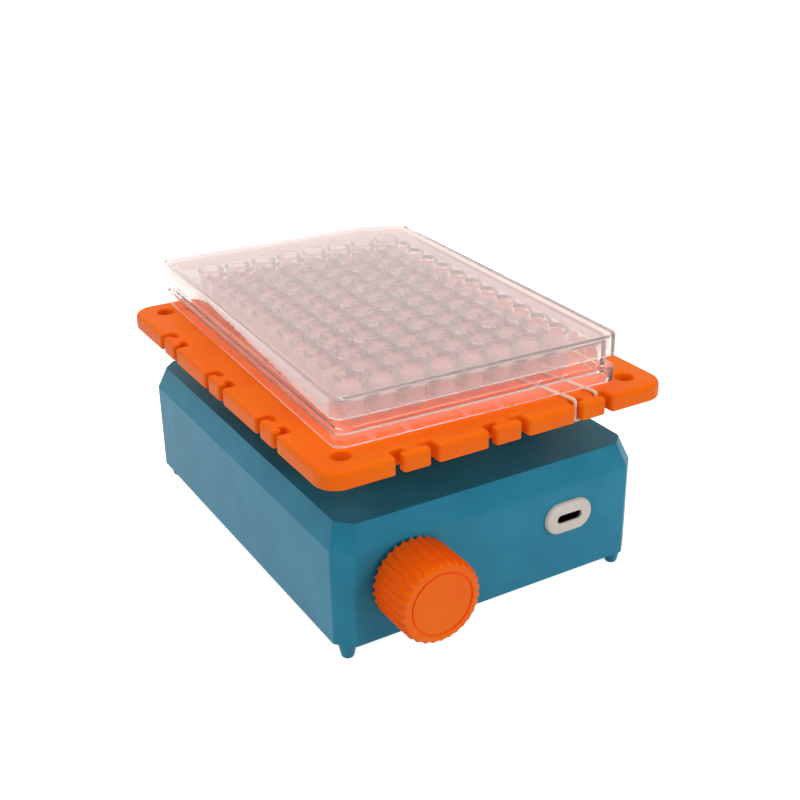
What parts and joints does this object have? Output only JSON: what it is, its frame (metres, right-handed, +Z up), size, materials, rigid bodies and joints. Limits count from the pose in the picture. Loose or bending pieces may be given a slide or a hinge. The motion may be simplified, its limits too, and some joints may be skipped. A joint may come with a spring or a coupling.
{
  "type": "orbital shaker",
  "caption": "Small bench shaker: a tray with notched edges and corner holes orbits on cranks over a bevelled housing with a fluted knob; a lidded well plate is held by an elastic band.",
  "frame": {"origin": "on the bench under the drive axis, which is the centre of the housing in plan", "axes": "+X to the right of the front face, +Y to the back, +Z up"},
  "size_m": [0.1072, 0.1491, 0.0745],
  "materials": {
    "housing_plastic": "printed teal plastic",
    "cover_plastic": "printed teal plastic",
    "tray_plastic": "printed orange plastic",
    "knob_plastic": "moulded orange plastic",
    "bezel_plastic": "warm white plastic",
    "screw_steel": "plated steel",
    "bearing_steel": "bearing steel",
    "shaft_steel": "ground steel",
    "motor_steel": "zinc-plated can",
    "hub_aluminium": "turned aluminium",
    "weight_steel": "cut steel plate",
    "board_laminate": "green laminate",
    "component_plastic": "black plastic",
    "socket_steel": "nickel-plated",
    "control_metal": "plated",
    "plate_polystyrene": "clear polystyrene",
    "lid_polystyrene": "clear polystyrene",
    "band_rubber": "cream elastic"
  },
  "bodies": {
    "base": {"housing_shell": "housing_plastic", "bottom_cover": "cover_plastic", "cover_screws": "screw_steel", "motor_body": "motor_steel", "motor_screws": "screw_steel", "control_board": "board_laminate", "board_screws": "screw_steel", "board_components": "component_plastic", "usb_socket": "socket_steel", "usb_bezel": "bezel_plastic", "potentiometer_body": "control_metal", "potentiometer_nut": "control_metal", "housing_bearings": "bearing_steel", "foot_front_left": "housing_plastic", "foot_front_right": "housing_plastic", "foot_back_left": "housing_plastic", "foot_back_right": "housing_plastic"},
    "drive_crank": {"motor_shaft": "shaft_steel", "crank_hub": "hub_aluminium", "crank_pin": "shaft_steel", "hub_set_screw": "screw_steel", "counterweight": "weight_steel", "counterweight_screws": "screw_steel"},
    "tray": {"tray_platform": "tray_plastic", "tray_bearings": "bearing_steel", "tray_hub_bearing": "bearing_steel", "elastic_band": "band_rubber"},
    "knob": {"speed_knob": "knob_plastic", "potentiometer_shaft": "control_metal"},
    "microplate": {"microplate": "plate_polystyrene"},
    "plate_lid": {"plate_lid": "lid_polystyrene"},
    "idler_front_left": {"idler_crank_front_left": "shaft_steel", "idler_clip_front_left": "screw_steel"},
    "idler_front_right": {"idler_crank_front_right": "shaft_steel", "idler_clip_front_right": "screw_steel"},
    "idler_back_left": {"idler_crank_back_left": "shaft_steel", "idler_clip_back_left": "screw_steel"},
    "idler_back_right": {"idler_crank_back_right": "shaft_steel", "idler_clip_back_right": "screw_steel"}
  },
  "joints": [
    {"name": "drive_turn", "type": "hinge", "parent": "base", "child": "drive_crank", "pos_m": [0, 0, 0.0412], "axis": [0, 0, 1], "continuous": true},
    {"name": "tray_orbit", "type": "hinge", "parent": "drive_crank", "child": "tray", "pos_m": [0.0007, -0.00039, 0.0512], "axis": [0, 0, 1], "continuous": true},
    {"name": "idler_turn_front_left", "type": "hinge", "parent": "base", "child": "idler_front_left", "pos_m": [-0.0286, -0.036, 0.0384], "axis": [0, 0, 1], "continuous": true},
    {"name": "idler_turn_front_right", "type": "hinge", "parent": "base", "child": "idler_front_right", "pos_m": [0.0286, -0.036, 0.0384], "axis": [0, 0, 1], "continuous": true},
    {"name": "idler_turn_back_left", "type": "hinge", "parent": "base", "child": "idler_back_left", "pos_m": [-0.0286, 0.036, 0.0384], "axis": [0, 0, 1], "continuous": true},
    {"name": "idler_turn_back_right", "type": "hinge", "parent": "base", "child": "idler_back_right", "pos_m": [0.0286, 0.036, 0.0384], "axis": [0, 0, 1], "continuous": true},
    {"name": "knob_turn", "type": "hinge", "parent": "base", "child": "knob", "pos_m": [-0.0278, -0.0735, 0.0221], "axis": [0, -1, 0], "range_deg": [-300, 0]},
    {"name": "plate_lift", "type": "slide", "parent": "tray", "child": "microplate", "axis": [0, 0, 1], "range_m": [0, 0.06]},
    {"name": "lid_lift", "type": "slide", "parent": "microplate", "child": "plate_lid", "axis": [0, 0, 1], "range_m": [0, 0.03]}
  ],
  "couplings": [
    {"joint": "tray_orbit", "follows": "drive_turn", "ratio": -1},
    {"joint": "idler_turn_front_left", "follows": "drive_turn", "ratio": 1},
    {"joint": "idler_turn_front_right", "follows": "drive_turn", "ratio": 1},
    {"joint": "idler_turn_back_left", "follows": "drive_turn", "ratio": 1},
    {"joint": "idler_turn_back_right", "follows": "drive_turn", "ratio": 1}
  ]
}
